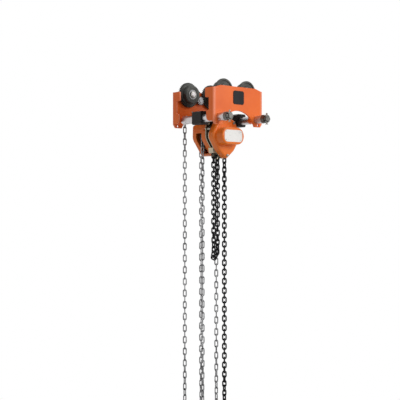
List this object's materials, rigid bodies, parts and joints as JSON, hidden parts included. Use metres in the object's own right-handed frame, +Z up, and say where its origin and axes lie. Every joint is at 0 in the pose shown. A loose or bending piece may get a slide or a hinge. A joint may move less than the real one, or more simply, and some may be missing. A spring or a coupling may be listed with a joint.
{
  "type": "geared hoist trolley",
  "caption": "Beam trolley with flanged wheels between folded side plates, driven by an endless hand chain, with a built-in chain hoist, swivel hook and latch.",
  "frame": {"origin": "on the beam's centre line, midway along the trolley, at the height of the flange surface that the wheels roll on", "axes": "+X along the beam, +Y across the beam towards the geared drive, +Z up"},
  "size_m": [0.27, 0.3735, 1.4673],
  "materials": {
    "orange_paint": "glossy enamel",
    "black_paint": "satin black enamel",
    "wheel_iron": "machined cast iron",
    "bar_steel": "bright turned steel",
    "gear_steel": "cut steel, oiled",
    "fastener_zinc": "zinc plated",
    "frame_steel": "yellow passivated zinc",
    "load_chain_steel": "blackened alloy steel",
    "hand_chain_zinc": "zinc plated",
    "bush_bronze": "plain bearing bronze",
    "friction_lining": "pressed lining",
    "badge_black": "matt",
    "plate_aluminium": "satin, unmarked"
  },
  "bodies": {
    "frame": {"near_plate": "orange_paint", "far_plate": "orange_paint", "plate_lugs": "orange_paint", "bar_bosses": "orange_paint", "gear_cover": "orange_paint", "hand_wheel_cover": "orange_paint", "pinion_housing": "orange_paint", "suspension_hanger": "black_paint", "tie_rods": "bar_steel", "inner_sleeves": "bar_steel", "outer_sleeves": "bar_steel", "spacer_washers": "bar_steel", "wheel_axles": "bar_steel", "ratchet_disc": "gear_steel", "wheel_bearings": "gear_steel", "sheave_bearings": "gear_steel", "castle_nuts": "fastener_zinc", "split_pins": "fastener_zinc", "trolley_plate_bolts": "fastener_zinc", "hanger_bolts": "fastener_zinc", "gear_cover_screws": "fastener_zinc", "cover_studs": "fastener_zinc", "axle_circlips": "fastener_zinc", "stay_pins": "fastener_zinc", "tail_pin": "fastener_zinc", "pawl_pin": "fastener_zinc", "gear_side_plate": "frame_steel", "wheel_side_plate": "frame_steel", "trolley_chain_guide": "frame_steel", "chain_guide": "frame_steel", "load_chain_slack": "load_chain_steel", "load_chain_upper": "load_chain_steel", "hoist_hand_chain": "hand_chain_zinc", "trolley_hand_chain": "hand_chain_zinc", "pinion_bush": "bush_bronze", "plate_badge": "badge_black", "rating_plate": "plate_aluminium"},
    "near_left_wheel": {"near_wheel_left": "wheel_iron"},
    "near_right_wheel": {"near_wheel_right": "wheel_iron"},
    "left_drive_wheel": {"drive_wheel_left": "wheel_iron"},
    "right_drive_wheel": {"drive_wheel_right": "wheel_iron"},
    "trolley_drive": {"trolley_pinion_shaft": "bar_steel", "trolley_hand_wheel": "wheel_iron", "trolley_wheel_nut": "fastener_zinc"},
    "hoist_drive": {"drive_shaft": "bar_steel", "friction_discs": "friction_lining", "hoist_hand_wheel": "wheel_iron", "hoist_wheel_nut": "fastener_zinc"},
    "left_disc_gear": {"disc_gear_left": "gear_steel"},
    "right_disc_gear": {"disc_gear_right": "gear_steel"},
    "lift_wheel": {"load_sheave": "wheel_iron", "load_gear": "gear_steel"},
    "brake_pawl": {"pawl": "gear_steel"},
    "bottom_block": {"hook_yoke": "black_paint", "yoke_pin": "fastener_zinc", "load_chain_lower": "load_chain_steel"},
    "swivel_hook": {"hook": "black_paint", "hook_nut": "fastener_zinc", "latch_pin": "fastener_zinc"},
    "safety_latch": {"hook_latch": "frame_steel"}
  },
  "joints": [
    {"name": "near_left_spin", "type": "hinge", "parent": "frame", "child": "near_left_wheel", "pos_m": [-0.062, -0.097, 0.037], "axis": [0, 1, 0], "continuous": true},
    {"name": "near_right_spin", "type": "hinge", "parent": "frame", "child": "near_right_wheel", "pos_m": [0.062, -0.097, 0.037], "axis": [0, 1, 0], "continuous": true},
    {"name": "left_drive_spin", "type": "hinge", "parent": "frame", "child": "left_drive_wheel", "pos_m": [-0.062, 0.097, 0.037], "axis": [0, 1, 0], "continuous": true},
    {"name": "right_drive_spin", "type": "hinge", "parent": "frame", "child": "right_drive_wheel", "pos_m": [0.062, 0.097, 0.037], "axis": [0, 1, 0], "continuous": true},
    {"name": "trolley_drive_spin", "type": "hinge", "parent": "frame", "child": "trolley_drive", "pos_m": [0, 0.155, 0.01748], "axis": [0, 1, 0], "continuous": true, "deforming": ["trolley_hand_chain"]},
    {"name": "hoist_drive_spin", "type": "hinge", "parent": "frame", "child": "hoist_drive", "pos_m": [0, 0.0475, -0.14], "axis": [0, -1, 0], "range_deg": [0, 17280], "deforming": ["hoist_hand_chain"]},
    {"name": "left_disc_spin", "type": "hinge", "parent": "frame", "child": "left_disc_gear", "pos_m": [-0.028, -0.062, -0.14], "axis": [0, -1, 0], "range_deg": [-4320, 0]},
    {"name": "right_disc_spin", "type": "hinge", "parent": "frame", "child": "right_disc_gear", "pos_m": [0.028, -0.062, -0.14], "axis": [0, -1, 0], "range_deg": [-4320, 0]},
    {"name": "lift_wheel_spin", "type": "hinge", "parent": "frame", "child": "lift_wheel", "pos_m": [0, -0.012, -0.14], "axis": [0, -1, 0], "range_deg": [0, 1080], "deforming": ["load_chain_slack"]},
    {"name": "hook_lift", "type": "slide", "parent": "frame", "child": "bottom_block", "axis": [0, 0, 1], "range_m": [0, 0.5731], "deforming": ["load_chain_upper"]},
    {"name": "pawl_pivot", "type": "hinge", "parent": "frame", "child": "brake_pawl", "pos_m": [-0.008, 0.026, -0.1], "axis": [0, 1, 0], "range_deg": [0, 15]},
    {"name": "hook_swivel", "type": "hinge", "parent": "bottom_block", "child": "swivel_hook", "pos_m": [0.02837, -0.012, -1.2811], "axis": [0, 0, 1], "continuous": true},
    {"name": "latch_pivot", "type": "hinge", "parent": "swivel_hook", "child": "safety_latch", "pos_m": [0.02987, -0.012, -1.3001], "axis": [0, 1, 0], "range_deg": [0, 30]}
  ],
  "couplings": [
    {"joint": "right_drive_spin", "follows": "left_drive_spin", "ratio": 1},
    {"joint": "trolley_drive_spin", "follows": "left_drive_spin", "ratio": -3.3333},
    {"joint": "left_disc_spin", "follows": "hoist_drive_spin", "ratio": -0.25},
    {"joint": "right_disc_spin", "follows": "hoist_drive_spin", "ratio": -0.25},
    {"joint": "lift_wheel_spin", "follows": "hoist_drive_spin", "ratio": 0.0625},
    {"joint": "hook_lift", "follows": "hoist_drive_spin", "m_per_rad": 0.0018999}
  ]
}
